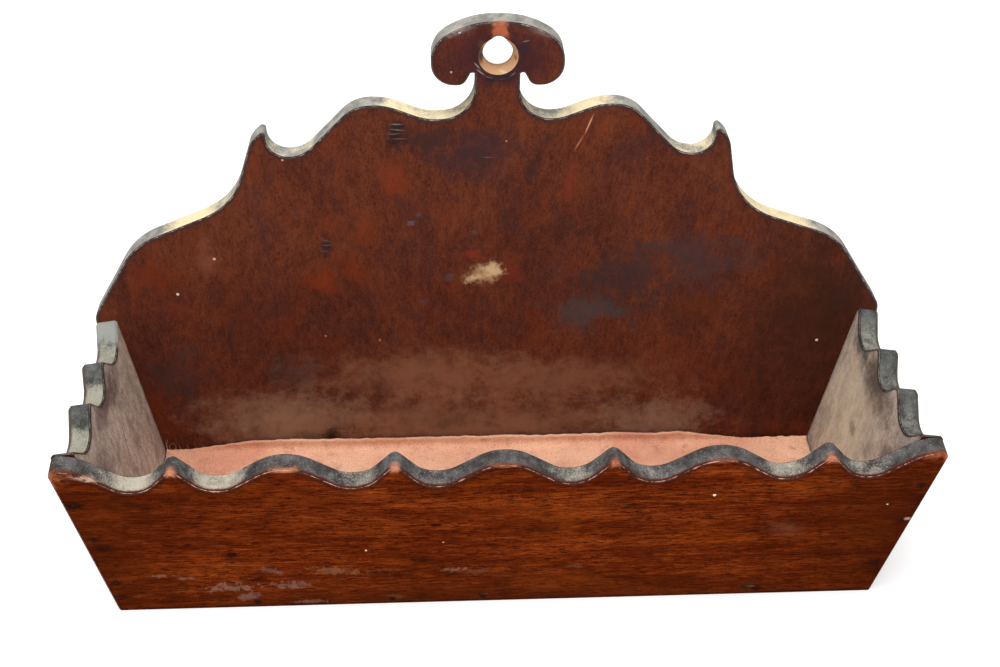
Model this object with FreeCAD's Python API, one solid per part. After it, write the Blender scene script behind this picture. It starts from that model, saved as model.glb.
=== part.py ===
import FreeCAD, Part
import math
import os

# An open hanging box of five thin boards, nailed together, with a cloth in the bottom.
# Lengths are in millimetres and angles in degrees. X is the width, Y the depth with the
# front board towards -Y, and Z is up from the base.

# The box as a whole
base_width = 320.0  # over the two sides, at the base
base_depth = 90.5  # from the outer foot of the front board to the face of the back board
splay_angle = 8.5  # each side leans outwards
lean_angle = 6.35  # the front leans outwards

# Board thicknesses
front_thickness = 9.3
side_thickness = 9.3
back_thickness = 9.3
bottom_thickness = 7.0
lining_thickness = 1.0
lining_margin = 0.6  # the cloth stops this short of the walls

# Softened edges
arris = 0.9
front_corner_radius = 3.2

# The front board's scalloped rim, measured up its outer face
front_rim = 87.4
front_end_rise = 1.5  # the two ends stand above the cusps and swells
front_hollow_depth = 11.7
front_cusp_pairs = 2
front_pattern_share = 0.979  # width of the pattern to the width of the rim
cusp_radius = 2.6
cusp_flat = 2.4
hollow_radius = 12.0
swell_radius = 18.0
# Where a hollow's floor begins and ends and a swell begins, from cusp to swell
hollow_start_share = 0.262
hollow_end_share = 0.478
swell_start_share = 0.868

# The side boards' scalloped rims, measured up their outer faces
side_hollow_depth = 9.0
side_hollow_floor = 8.6
side_hollow_radius = 10.0
side_tip_radius = 3.0
side_tip_flat = 2.4
# Each tip: share of the way from the front board to the back board, and how far it
# stands below the front one
side_tips = ((0.0, 0.0), (0.352, 3.0), (0.655, 4.3), (1.0, 5.7))

# The back board's scrolled crest
back_height = 222.4
shoulder_height = 84.9
shoulder_radius = 10.0
spike_radius = 1.3
crest_shift = -1.6  # the crest was sawn a little to the left of the middle
# Crest corners: share of the half width at the shoulder, share of the rise from the
# shoulder to the hollow beside the neck, and the corner's radius as a share of that rise
ramp_shares = (0.8645, 0.389, 0.334)
right_valley_shares = (0.5985, 0.560, 0.320)
left_valley_shares = (0.6150, 0.588, 0.320)
horn_shares = (0.5590, 0.902, 0.126)
spike_shares = (0.5246, 0.958)
inner_crest_shares = (
    (0.5246, 0.828, 0.090),
    (0.4424, 0.828, 0.134),
    (0.3185, 1.067, 0.167),
    (0.2467, 1.067, 0.251),
    (0.1552, 1.000, 0.209),
)

# The anvil-shaped head that the box hangs by
head_width = 52.0
head_height = 26.9
neck_height = 14.9  # from the hollow beside it to the underside of the head
neck_width = 17.6
neck_radius = 14.0
notch_width = 1.8
notch_depth = 5.4
notch_radius = 0.75
hole_radius = 5.9
hole_drop = 14.2  # from the crown to the hole's centre
hole_mouth_radius = 7.8  # worn wider at both faces
hole_mouth_depth = 3.6
nail_radius = 3.4  # the nail it hung on wore a way up into the hole's top
nail_rise = 5.2  # from the hole's centre to the nail's
# Head corners: share of the half width, share of the height, and the corner's radius as
# a share of the height
head_shares = (
    (1.000, 0.000, 0.335),
    (1.000, 0.669, 0.483),
    (0.408, 1.000, 1.240),
)
lobe_inner_share = 0.515  # where the lobe's underside turns up into the notch
lobe_inner_radius = 4.0

# Cut brads
brad_length = 25.0
brad_head_width = 2.0
brad_head_depth = 0.8
brad_width = 1.3
brad_point_width = 0.6
corner_brad_shares = (0.22, 0.55, 0.80)  # of the rim's height
front_foot_brad_shares = (-0.636, -0.285, -0.046, 0.686)  # of the half width
back_foot_brad_shares = (-0.70, -0.24, 0.24, 0.70)
side_foot_brad_shares = (0.36, 0.72)  # of the depth

# How far a blank stands past the face that trims it
overrun = 12.0

# Worked out from the sizes above
splay = math.radians(splay_angle)
lean = math.radians(lean_angle)
half_base = base_width / 2
front_end = front_rim + front_end_rise
rim_reach = (front_end - arris) * math.sin(lean)
foot_y = -(base_depth + back_thickness - rim_reach) / 2
back_y = foot_y + base_depth
front_rim_z = front_rim * math.cos(lean)
front_end_z = front_end * math.cos(lean)
flatness = 1e-4  # how near to a plane an edge counts as in it
front_inner_foot = FreeCAD.Vector(
    0,
    foot_y + front_thickness * math.cos(lean),
    front_thickness * math.sin(lean),
)
front_outward = FreeCAD.Vector(0, -math.cos(lean), -math.sin(lean))
right_outward = FreeCAD.Vector(math.cos(splay), 0, -math.sin(splay))
left_outward = FreeCAD.Vector(-math.cos(splay), 0, -math.sin(splay))
downward = FreeCAD.Vector(0, 0, -1)
origin = FreeCAD.Vector(0, 0, 0)


def half_width_at(height):
    """Half of the box's outer width at a height above the base."""
    return half_base + height * math.tan(splay)


def front_inner_at(height):
    """Y of the front board's inner face at a height above the base."""
    return foot_y + front_thickness / math.cos(lean) - height * math.tan(lean)


def rounded_wire(corners):
    """Close a wire through corners (point, radius), each rounded by a tangent arc.

    A radius is cut back where its side is too short for it.
    """
    count = len(corners)
    points = [corner[0] for corner in corners]
    sides = [points[(i + 1) % count] - points[i] for i in range(count)]
    setbacks = []
    for i in range(count):
        turn = sides[i - 1].getAngle(sides[i])
        setbacks.append(corners[i][1] * math.tan(turn / 2))
    fits = []
    for i in range(count):
        wanted = setbacks[i] + setbacks[(i + 1) % count]
        fits.append(min(1.0, sides[i].Length / wanted) if wanted else 1.0)
    starts = []
    ends = []
    middles = []
    for i in range(count):
        setback = setbacks[i] * min(fits[i - 1], fits[i])
        into = FreeCAD.Vector(sides[i - 1]).normalize()
        out = FreeCAD.Vector(sides[i]).normalize()
        starts.append(points[i] - into * setback)
        ends.append(points[i] + out * setback)
        half_turn = into.getAngle(out) / 2
        inward = out - into
        if setback and inward.Length:
            bulge = setback * (1 / math.cos(half_turn) - 1) / math.tan(half_turn)
            middles.append(points[i] + inward.normalize() * bulge)
        else:
            middles.append(None)
    edges = []
    for i in range(count):
        if middles[i] is not None:
            edges.append(Part.Arc(starts[i], middles[i], ends[i]).toShape())
        following = starts[(i + 1) % count]
        if not ends[i].isEqual(following, Part.Precision.confusion()):
            edges.append(Part.LineSegment(ends[i], following).toShape())
    return Part.Wire(edges)


def trimmed(solid, point, outward):
    """Cut away what lies on the outward side of a plane."""
    reach = 2 * (base_width + back_height)
    block = Part.makeBox(reach, reach, reach, FreeCAD.Vector(-reach / 2, -reach / 2, 0))
    block.Placement = FreeCAD.Placement(
        point, FreeCAD.Rotation(FreeCAD.Vector(0, 0, 1), outward)
    ).multiply(block.Placement)
    return solid.cut(block)


def edges_in_plane(shape, point, normal):
    """Every edge of a shape that lies in a plane."""
    found = []
    for edge in shape.Edges:
        places = [edge.valueAt(value) for value in edge.ParameterRange]
        places.append(edge.CenterOfMass)
        gaps = [abs((place - point).dot(normal)) for place in places]
        if max(gaps) < flatness:
            found.append(edge)
    return found


def front_rim_corners():
    """Corners of the front rim from the left end to the right, with their radii."""
    floor = front_rim - front_hollow_depth
    rim_half = half_width_at(front_rim_z)
    bay = rim_half * front_pattern_share / (2 * front_cusp_pairs)
    hollow = (
        (cusp_flat / 2, front_rim, cusp_radius),
        (bay * hollow_start_share, floor, hollow_radius),
        (bay * hollow_end_share, floor, hollow_radius),
        (bay * swell_start_share, front_rim, swell_radius),
    )
    right_half = []
    for pair in range(front_cusp_pairs):
        cusp_x = bay * (2 * pair + 1)
        right_half += [(cusp_x - x, v, radius) for x, v, radius in reversed(hollow)]
        right_half += [(cusp_x + x, v, radius) for x, v, radius in hollow]
    swell_x, _, radius = right_half.pop()
    right_half.append((swell_x, front_end, radius))
    right_half.append((rim_half + overrun, front_end, 0))
    left_half = [(-x, v, radius) for x, v, radius in reversed(right_half)]
    return left_half + right_half


def make_front_board():
    """Front board: canted ends, scalloped rim, leaning outwards."""
    corners = front_rim_corners()
    foot_x = half_width_at(0) + overrun
    corners = [(-foot_x, -overrun, 0)] + corners + [(foot_x, -overrun, 0)]
    wire = rounded_wire([(FreeCAD.Vector(x, 0, v), radius) for x, v, radius in corners])
    board = Part.Face(wire).extrude(FreeCAD.Vector(0, front_thickness, 0))
    board.rotate(origin, FreeCAD.Vector(1, 0, 0), lean_angle)
    board.translate(FreeCAD.Vector(0, foot_y, 0))
    board = trimmed(board, origin, downward)
    board = trimmed(board, FreeCAD.Vector(half_base, 0, 0), right_outward)
    board = trimmed(board, FreeCAD.Vector(-half_base, 0, 0), left_outward)
    top_corners = []
    for side, outward in ((half_base, right_outward), (-half_base, left_outward)):
        end_edges = edges_in_plane(board, FreeCAD.Vector(side, 0, 0), outward)
        top_corners.append(max(end_edges, key=lambda edge: edge.CenterOfMass.z))
    board = board.makeFillet(front_corner_radius, top_corners)
    outer = edges_in_plane(board, FreeCAD.Vector(0, foot_y, 0), front_outward)
    inner = edges_in_plane(board, front_inner_foot, front_outward)
    worn = [edge for edge in outer if edge.CenterOfMass.z > arris]
    hollow_z = (front_rim - front_hollow_depth - arris) * math.cos(lean)
    worn += [edge for edge in inner if edge.CenterOfMass.z > hollow_z]
    return board.makeChamfer(arris, worn)


def side_rim_corners():
    """Corners of a side rim from beyond the front board to beyond the back board."""
    front_top = (
        front_end_z + (front_thickness * math.sin(lean) - side_thickness * math.sin(splay)) / 2
    ) / math.cos(splay)
    start_y = front_inner_at(front_end_z)
    tips = []
    for share, fall in side_tips:
        tips.append((start_y + share * (back_y - start_y), front_top - fall))
    corners = [(tips[0][0] - overrun, tips[0][1], 0)]
    for (y, v), (next_y, next_v) in zip(tips, tips[1:]):
        middle = (y + next_y) / 2
        floor = (v + next_v) / 2 - side_hollow_depth
        corners.append((y + side_tip_flat / 2, v, side_tip_radius))
        corners.append((middle - side_hollow_floor / 2, floor, side_hollow_radius))
        corners.append((middle + side_hollow_floor / 2, floor, side_hollow_radius))
        corners.append((next_y - side_tip_flat / 2, next_v, side_tip_radius))
    corners.append((tips[-1][0] + overrun, tips[-1][1], 0))
    return corners


def make_right_side_board():
    """Right side board: scalloped rim, leaning outwards between front and back."""
    corners = side_rim_corners()
    first_y = corners[0][0]
    last_y = corners[-1][0]
    corners = [(first_y, -overrun, 0)] + corners + [(last_y, -overrun, 0)]
    wire = rounded_wire([(FreeCAD.Vector(0, y, v), radius) for y, v, radius in corners])
    board = Part.Face(wire).extrude(FreeCAD.Vector(-side_thickness, 0, 0))
    faces = (origin, FreeCAD.Vector(-side_thickness, 0, 0))
    worn = []
    for face_point in faces:
        flat = edges_in_plane(board, face_point, FreeCAD.Vector(1, 0, 0))
        worn += [edge for edge in flat if edge.CenterOfMass.z > front_rim / 2 + overrun]
    board = board.makeChamfer(arris, worn)
    board.rotate(origin, FreeCAD.Vector(0, 1, 0), splay_angle)
    board.translate(FreeCAD.Vector(half_base, 0, 0))
    board = trimmed(board, origin, downward)
    board = trimmed(board, FreeCAD.Vector(0, back_y, 0), FreeCAD.Vector(0, 1, 0))
    return trimmed(board, front_inner_foot, front_outward)


def crest_half(side, valley_shares):
    """Corners of half of the back board, from its foot up to the crown.

    The side is 1 for the right half and -1 for the left, which is given mirrored.
    """
    shoulder_x = half_width_at(shoulder_height)
    crown_x = head_width / 2
    lobe_z = back_height - head_height
    notch_z = lobe_z + notch_depth
    neck_x = neck_width / 2
    hollow_z = lobe_z - neck_height
    rise = hollow_z - shoulder_height

    def crest(shares):
        x_share, z_share, radius_share = shares
        x = x_share * shoulder_x + side * crest_shift
        return (x, shoulder_height + z_share * rise, radius_share * rise)

    spike_x, spike_z, _ = crest((*spike_shares, 0))
    corners = [(half_base, 0, 0), (shoulder_x, shoulder_height, shoulder_radius)]
    corners += [crest(shares) for shares in (ramp_shares, valley_shares, horn_shares)]
    corners.append((spike_x, spike_z, spike_radius))
    corners += [crest(shares) for shares in inner_crest_shares]
    corners.append((neck_x, hollow_z, neck_radius))
    corners.append((neck_x, notch_z, notch_radius))
    corners.append((neck_x + notch_width, notch_z, notch_radius))
    corners.append((lobe_inner_share * crown_x, lobe_z, lobe_inner_radius))
    for x_share, z_share, radius_share in head_shares:
        corners.append(
            (x_share * crown_x, lobe_z + z_share * head_height, radius_share * head_height)
        )
    return corners


def hanging_hole():
    """The hole through the head, worn wider at its mouths and upwards by a nail."""
    depth = FreeCAD.Vector(0, 1, 0)
    centre = FreeCAD.Vector(0, back_y, back_height - hole_drop)
    far_centre = centre + depth * back_thickness
    nail_centre = centre + FreeCAD.Vector(0, 0, nail_rise)
    bore = Part.makeCylinder(hole_radius, back_thickness, centre, depth)
    worn = [
        Part.makeCylinder(nail_radius, back_thickness, nail_centre, depth),
        Part.makeCone(hole_mouth_radius, hole_radius, hole_mouth_depth, centre, depth),
        Part.makeCone(hole_mouth_radius, hole_radius, hole_mouth_depth, far_centre, depth * -1),
    ]
    return bore.multiFuse(worn)


def make_back_board():
    """Back board: scrolled crest, anvil head and hanging hole, standing upright."""
    corners = crest_half(1, right_valley_shares)
    left_half = crest_half(-1, left_valley_shares)
    corners += [(-x, z, radius) for x, z, radius in reversed(left_half)]
    wire = rounded_wire([(FreeCAD.Vector(x, back_y, z), radius) for x, z, radius in corners])
    board = Part.Face(wire).extrude(FreeCAD.Vector(0, back_thickness, 0))
    depth = FreeCAD.Vector(0, 1, 0)
    worn = []
    for face_y in (back_y, back_y + back_thickness):
        flat = edges_in_plane(board, FreeCAD.Vector(0, face_y, 0), depth)
        worn += [edge for edge in flat if edge.CenterOfMass.z > shoulder_height - shoulder_radius]
    return board.makeChamfer(arris, worn).cut(hanging_hole())


def tapered_block(low, high):
    """A block between two level rectangles (x from, x to, y from, y to, z)."""
    corners = []
    for x_from, x_to, y_from, y_to, z in (low, high):
        corners.append(FreeCAD.Vector(x_from, y_from, z))
        corners.append(FreeCAD.Vector(x_to, y_from, z))
        corners.append(FreeCAD.Vector(x_to, y_to, z))
        corners.append(FreeCAD.Vector(x_from, y_to, z))
    rings = [(0, 3, 2, 1), (4, 5, 6, 7), (0, 1, 5, 4), (1, 2, 6, 5), (2, 3, 7, 6), (3, 0, 4, 7)]
    faces = []
    for ring in rings:
        faces.append(Part.Face(Part.makePolygon([corners[i] for i in ring + ring[:1]])))
    return Part.Solid(Part.Shell(faces))


def between_walls(low, high, margin):
    """A slab that fills the box between two heights, short of the walls by a margin."""
    levels = []
    for z in (low, high):
        x = half_width_at(z) - side_thickness / math.cos(splay) - margin
        levels.append((-x, x, front_inner_at(z) + margin, back_y - margin, z))
    return tapered_block(*levels)


def square(width, height):
    """A level square about the Z axis, for one end of a tapered block."""
    return (-width / 2, width / 2, -width / 2, width / 2, height)


def brad(head_point, direction):
    """One cut brad: a square head and a tapered shank, driven along a direction."""
    head = tapered_block(square(brad_head_width, 0), square(brad_head_width, brad_head_depth))
    shank = tapered_block(square(brad_width, 0), square(brad_point_width, brad_length))
    pin = head.fuse(shank).removeSplitter()
    turn = FreeCAD.Rotation(FreeCAD.Vector(0, 0, 1), direction)
    pin.Placement = FreeCAD.Placement(head_point, turn)
    return pin.Solids[0]


def end_brads(side, front):
    """Brads through the front or the back board into the end of one side board."""
    brads = []
    for share in corner_brad_shares:
        z = share * front_rim_z
        middle = half_width_at(z) - side_thickness / math.cos(splay) / 2
        if front:
            head = FreeCAD.Vector(side * middle, foot_y - z * math.tan(lean), z)
            brads.append(brad(head, front_outward * -1))
        else:
            head = FreeCAD.Vector(side * middle, back_y + back_thickness, z)
            brads.append(brad(head, FreeCAD.Vector(0, -1, 0)))
    return brads


def foot_brads(shares, front):
    """Brads through the front or the back board into the edge of the bottom."""
    z = bottom_thickness / 2
    brads = []
    for share in shares:
        if front:
            head = FreeCAD.Vector(share * half_base, foot_y - z * math.tan(lean), z)
            brads.append(brad(head, FreeCAD.Vector(0, 1, 0)))
        else:
            head = FreeCAD.Vector(share * half_base, back_y + back_thickness, z)
            brads.append(brad(head, FreeCAD.Vector(0, -1, 0)))
    return brads


def side_foot_brads(side):
    """Brads through one side board into the edge of the bottom."""
    z = bottom_thickness / 2
    brads = []
    for share in side_foot_brad_shares:
        y = foot_y + share * base_depth
        head = FreeCAD.Vector(side * half_width_at(z), y, z)
        brads.append(brad(head, FreeCAD.Vector(-side, 0, 0)))
    return brads


brads = {
    "front_left_brads": end_brads(-1, True),
    "front_right_brads": end_brads(1, True),
    "back_left_brads": end_brads(-1, False),
    "back_right_brads": end_brads(1, False),
    "front_foot_brads": foot_brads(front_foot_brad_shares, True),
    "back_foot_brads": foot_brads(back_foot_brad_shares, False),
    "left_foot_brads": side_foot_brads(-1),
    "right_foot_brads": side_foot_brads(1),
}

right_side = make_right_side_board()
boards = {
    "back_board": make_back_board(),
    "front_board": make_front_board(),
    "left_side_board": right_side.mirror(origin, FreeCAD.Vector(1, 0, 0)),
    "right_side_board": right_side,
    "bottom_board": between_walls(0, bottom_thickness, 0),
}
every_brad = Part.makeCompound([pin for group in brads.values() for pin in group])

nodes = {name: board.cut(every_brad) for name, board in boards.items()}
nodes["bottom_lining"] = between_walls(
    bottom_thickness, bottom_thickness + lining_thickness, lining_margin
)
for name, group in brads.items():
    nodes[name] = Part.makeCompound(group)

os.makedirs("parts", exist_ok=True)
for name, shape in nodes.items():
    shape.exportStep(os.path.join("parts", name + ".step"))
    print(name, len(shape.Solids), "solids", round(shape.Volume), "mm3")
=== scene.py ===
"""An antique hanging candle box: old mahogany boards, dusty cut edges, brads and a faded cloth.

Lengths are in metres. X is the width, Y the depth with the front board towards -Y, Z is up.
"""

import logging
import math
from dataclasses import dataclass, field, replace
from enum import Enum
from functools import cached_property

import bmesh
import bpy
from mathutils import Euler, Matrix, Vector, noise


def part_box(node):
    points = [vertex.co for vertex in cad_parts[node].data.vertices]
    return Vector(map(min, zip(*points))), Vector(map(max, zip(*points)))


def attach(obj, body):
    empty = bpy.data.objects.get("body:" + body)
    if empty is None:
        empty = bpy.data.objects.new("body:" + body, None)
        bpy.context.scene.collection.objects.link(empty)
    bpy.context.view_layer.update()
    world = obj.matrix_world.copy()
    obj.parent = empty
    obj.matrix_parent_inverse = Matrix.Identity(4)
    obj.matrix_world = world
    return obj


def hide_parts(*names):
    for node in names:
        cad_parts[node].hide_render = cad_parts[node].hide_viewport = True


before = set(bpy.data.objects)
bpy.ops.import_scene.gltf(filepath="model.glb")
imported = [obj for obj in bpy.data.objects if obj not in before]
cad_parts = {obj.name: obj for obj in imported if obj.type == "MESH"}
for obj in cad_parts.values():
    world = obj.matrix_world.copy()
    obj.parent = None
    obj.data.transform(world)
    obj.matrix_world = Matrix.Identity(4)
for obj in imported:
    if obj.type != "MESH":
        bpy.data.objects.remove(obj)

logging.basicConfig(level=logging.INFO, format="%(message)s")
log = logging.getLogger("candle_box")

Colour = tuple[float, float, float, float]
Triple = tuple[float, float, float]
Socket = bpy.types.NodeSocket

MM = 0.001
BODY = "root"
UP = (0.0, 0.0, 1.0)
WHITE = (1.0, 1.0, 1.0, 1.0)
FRONT_LEAN = math.radians(6.35)
SIDE_SPLAY = math.radians(8.5)
WIDE_MARK = 12.0  # millimetres: a wider mark is broken up more coarsely
PATCH_STEP = (0.5, 0.68)  # where the noise begins to show a patch, and where it is full
PORE_STEP = (0.52, 0.68)
FACE_STEP = (0.8, 0.95)  # how nearly a surface looks the way that the face looks
ARRIS_STEP = (0.3, 0.6)
UPWARD_STEP = (-0.12, 0.1)  # how far a surface looks up before dust lies on it
INNER_SHIFT = 7.3  # moves the inner skin's pattern off the outer one's


def shade(red: int, green: int, blue: int) -> Colour:
    """Turns a display colour into the scene's linear colour.

    Args:
        red: Red, 0 to 255.
        green: Green, 0 to 255.
        blue: Blue, 0 to 255.

    Returns:
        The linear colour with full alpha.
    """
    knee, slope, offset, power = 0.04045, 12.92, 0.055, 2.4
    linear = []
    for byte in (red, green, blue):
        value = byte / 255
        if value <= knee:
            linear.append(value / slope)
        else:
            linear.append(((value + offset) / (1 + offset)) ** power)
    return (*linear, 1.0)


def dress_solid(name: str, material: bpy.types.Material) -> None:
    """Gives one of the frame's solids its material.

    Args:
        name: The solid's name.
        material: The material.
    """
    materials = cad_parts[name].data.materials
    materials.clear()
    materials.append(material)
    log.info("%s dressed", name)


def make_piece(
    name: str, shape: bmesh.types.BMesh, material: bpy.types.Material
) -> bpy.types.Object:
    """Turns a shape into a piece of the scene.

    Args:
        name: The piece's name.
        shape: Its shape, which is used up.
        material: Its material.

    Returns:
        The piece.
    """
    mesh = bpy.data.meshes.new(name)
    shape.to_mesh(mesh)
    shape.free()
    mesh.materials.append(material)
    piece = bpy.data.objects.new(name, mesh)
    bpy.context.scene.collection.objects.link(piece)
    return piece


class Side(Enum):
    """A face of a board."""

    OUTSIDE = 1
    INSIDE = -1


@dataclass(frozen=True)
class Mark:
    """One knot, stain, scuff or chip on a board, or a patch of painted shade or highlight, seen square
    on, in millimetres.

    Attributes:
        across: Place along X, or along Y on a side board.
        up: Height of its centre.
        width: Its size across.
        height: Its size up.
        colour: Its display colour, each part from 0 to 255.
        strength: How far it covers the wood.
        softness: Share of its radius over which it fades.
        ragged: How far its outline breaks up.
        tilt: Turn of its long axis, in degrees.
    """

    across: float
    up: float
    width: float
    height: float
    colour: tuple[int, int, int]
    strength: float = 1.0
    softness: float = 0.6
    ragged: float = 0.5
    tilt: float = 0.0


@dataclass(frozen=True)
class Timber:
    """The colour and grain of a board's skin.

    Attributes:
        dark: Colour of the dark streaks.
        body: Colour between them.
        bright: Colour of the light streaks.
        figure: Repeats per metre of the broad figure along X, Y and Z.
        streak: Repeats per metre of the streaks.
        pores: Repeats per metre of the pores.
        warm: Colour of the patches where the skin has worn thin.
        cool: Colour of the patches where it has darkened.
        mottle: Repeats per metre of those patches.
        mottling: How far they cover the wood.
        figure_share: Share of the broad figure in the tone, the rest being the streaks.
        spread: How far from the middle tone the dark and the light streaks stand.
        grit: How far fine grit roughens the tone.
        grit_scale: Repeats per metre of the grit.
        contrast: How far apart the streaks stand, 1 for the full range.
        pore_depth: How dark the pores are.
        roughness: Roughness of the skin.
        relief: Height of the grain.
    """

    dark: Colour
    body: Colour
    bright: Colour
    figure: Triple
    streak: Triple
    pores: Triple
    warm: Colour
    cool: Colour
    mottle: Triple = (50, 50, 30)
    mottling: float = 0.3
    figure_share: float = 0.4
    spread: float = 0.17
    grit: float = 0.1
    grit_scale: float = 1700.0
    contrast: float = 1.0
    pore_depth: float = 0.5
    roughness: float = 0.45
    relief: float = 0.12 * MM


@dataclass(frozen=True)
class CutEdge:
    """The finish of a board's cut edge.

    Attributes:
        grime: Colour of the dust-dulled wood on swells and slopes.
        shadow: Colour of its darker specks.
        dust: Colour of the pale dust that lies in the hollows.
        arris: Colour of the arris.
        bare_and_highlight: Colour of the worn-through wood and of the painted highlight along the arris.
        lip: Colour of the polish that turns over the edge from the polished face.
        soot_and_shade: Colour of the dirt and painted shade that lie on the faces along the arris.
        soot_and_shade_cover: How far that dirt and painted shade cover them.
        lip_share: How far the polish reaches, as a share of the thickness.
        lip_spread: How much further it reaches over a sharp tip.
        polished: The face that the polish comes from.
        arris_share: Width of the arris, as a share of the thickness.
        wear_and_highlight: How much of the arris carries the worn-through line with its painted
            highlight.
        reach: How far from the arris its dirt, painted shade and flaking reach.
        clumps: How far coarse clumps break up the dust.
        grains: How far fine grains break it up.
        roughness: Roughness of the dusty edge.
    """

    grime: Colour
    shadow: Colour
    dust: Colour
    arris: Colour
    bare_and_highlight: Colour
    lip: Colour
    soot_and_shade: Colour
    soot_and_shade_cover: float = 0.5
    lip_share: float = 0.1
    lip_spread: float = 0.5
    polished: Side = Side.OUTSIDE
    arris_share: float = 0.1
    wear_and_highlight: float = 0.5
    reach: float = 2.2 * MM
    clumps: float = 1.4
    grains: float = 1.6
    roughness: float = 0.85


class Graph:
    """A material under construction: its node tree and the short calls that extend it."""

    def __init__(self, name: str, along_y: bool = False) -> None:
        """Starts a material with one Principled shader.

        Args:
            name: The material's name.
            along_y: True on a side board, whose marks are placed along Y.
        """
        self.along_y = along_y
        self.material = bpy.data.materials.new(name)
        self.material.use_nodes = True
        self.tree = self.material.node_tree
        self.tree.nodes.clear()
        self.surface = self.tree.nodes.new("ShaderNodeBsdfPrincipled")
        output = self.tree.nodes.new("ShaderNodeOutputMaterial")
        self.tree.links.new(self.surface.outputs["BSDF"], output.inputs["Surface"])
        self.place = self.tree.nodes.new("ShaderNodeTexCoord").outputs["Object"]
        self.facing = self.tree.nodes.new("ShaderNodeNewGeometry").outputs["True Normal"]

    def node(self, kind: str, inputs: dict | None = None, **settings: object) -> bpy.types.Node:
        """Adds a node.

        Args:
            kind: The node's type name.
            inputs: What goes into it, by socket name or number.
            **settings: Its properties by name.

        Returns:
            The node.
        """
        added = self.tree.nodes.new(kind)
        for name, value in settings.items():
            setattr(added, name, value)
        for name, value in (inputs or {}).items():
            self.feed(added.inputs[name], value)
        return added

    def feed(self, socket: Socket, value: object) -> None:
        """Links a socket to another, or sets it to a value.

        Args:
            socket: The input.
            value: A socket, number, vector or colour.
        """
        if isinstance(value, bpy.types.NodeSocket):
            self.tree.links.new(value, socket)
        else:
            socket.default_value = value

    def maths(self, operation: str, *values: object) -> Socket:
        """Joins numbers by one operation.

        Args:
            operation: The Math node's operation.
            *values: Its inputs.

        Returns:
            The result.
        """
        return self.node("ShaderNodeMath", dict(enumerate(values)), operation=operation).outputs[0]

    def between(self, value: object, low: float, high: float, top: float = 1.0) -> Socket:
        """A smooth step.

        Args:
            value: The number that steps.
            low: Where the step is at 0.
            high: Where it is at its top.
            top: The height of the step.

        Returns:
            The step, from 0 to top.
        """
        inputs = {"Value": value, "From Min": low, "From Max": high, "To Max": top}
        added = self.node("ShaderNodeMapRange", inputs, interpolation_type="SMOOTHSTEP")
        return added.outputs["Result"]

    def mix(self, amount: object, first: object, second: object, kind: str = "Color") -> Socket:
        """Mixes two colours, or two numbers.

        Args:
            amount: Share of the second one.
            first: What is given at 0.
            second: What is given at 1.
            kind: Color, or Float for numbers.

        Returns:
            The mixture.
        """
        data_type = {"Color": "RGBA", "Float": "FLOAT"}[kind]
        added = self.node("ShaderNodeMix", data_type=data_type)
        inputs = {socket.identifier: socket for socket in added.inputs}
        self.feed(inputs["Factor_Float"], amount)
        self.feed(inputs["A_" + kind], first)
        self.feed(inputs["B_" + kind], second)
        return next(s for s in added.outputs if s.identifier == "Result_" + kind)

    def dot(self, vector: Socket, direction: Triple) -> Socket:
        """The share of a vector along a direction."""
        inputs = {0: vector, 1: direction}
        return self.node("ShaderNodeVectorMath", inputs, operation="DOT_PRODUCT").outputs["Value"]

    def scaled(self, stretch: Triple, offset: Triple = (0.0, 0.0, 0.0)) -> Socket:
        """The place on the object, stretched and moved, for a pattern.

        Args:
            stretch: Repeats per metre along X, Y and Z.
            offset: How far the pattern is moved, in repeats.

        Returns:
            The pattern's coordinates.
        """
        inputs = {0: self.place, 1: stretch, 2: offset}
        return self.node("ShaderNodeVectorMath", inputs, operation="MULTIPLY_ADD").outputs[0]

    def cloud(
        self, vector: Socket, detail: float = 2.0, roughness: float = 0.5, swirl: float = 0.0
    ) -> Socket:
        """Soft noise, about 0.5 on average.

        Args:
            vector: Its coordinates.
            detail: Number of finer layers.
            roughness: Strength of the finer layers.
            swirl: How far the noise bends itself.

        Returns:
            The noise.
        """
        inputs = {"Vector": vector, "Scale": 1.0, "Detail": detail}
        inputs.update({"Roughness": roughness, "Distortion": swirl})
        return self.node("ShaderNodeTexNoise", inputs).outputs["Fac"]

    def even(self, repeats: float, detail: float, roughness: float) -> Socket:
        """Soft noise with as many repeats per metre in every direction."""
        return self.cloud(self.scaled((repeats, repeats, repeats)), detail, roughness)

    def tints(self, vector: Socket) -> tuple[Socket, Socket]:
        """Two soft noises, unlike one another.

        Args:
            vector: Their coordinates.

        Returns:
            The two noises.
        """
        inputs = {"Vector": vector, "Scale": 1.0, "Detail": 6.0, "Roughness": 0.65}
        both = self.node("ShaderNodeTexNoise", inputs).outputs["Color"]
        parts = self.node("ShaderNodeSeparateColor", {0: both}).outputs
        return parts[0], parts[1]

    def roughened(self, value: object, grain: Socket, strength: float) -> Socket:
        """A number broken up by noise.

        Args:
            value: The number.
            grain: The noise, about 0.5 on average.
            strength: How far the noise moves the number.

        Returns:
            The rough number.
        """
        low = self.maths("SUBTRACT", value, strength / 2)
        return self.maths("MULTIPLY_ADD", grain, strength, low)

    @cached_property
    def plane(self) -> Socket:
        """The place on the board's face.

        Returns:
            The place: X is across the face and Z is up.
        """
        across = (0.0, 1.0, 0.0) if self.along_y else (1.0, 0.0, 0.0)
        inputs = {"X": self.dot(self.place, across), "Z": self.dot(self.place, UP)}
        return self.node("ShaderNodeCombineXYZ", inputs).outputs[0]

    @cached_property
    def fine(self) -> Socket:
        """Noise that breaks up small marks."""
        return self.even(300, 6.0, 0.75)

    @cached_property
    def broad(self) -> Socket:
        """Noise that breaks up wide marks."""
        return self.even(90, 8.0, 0.75)

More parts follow.
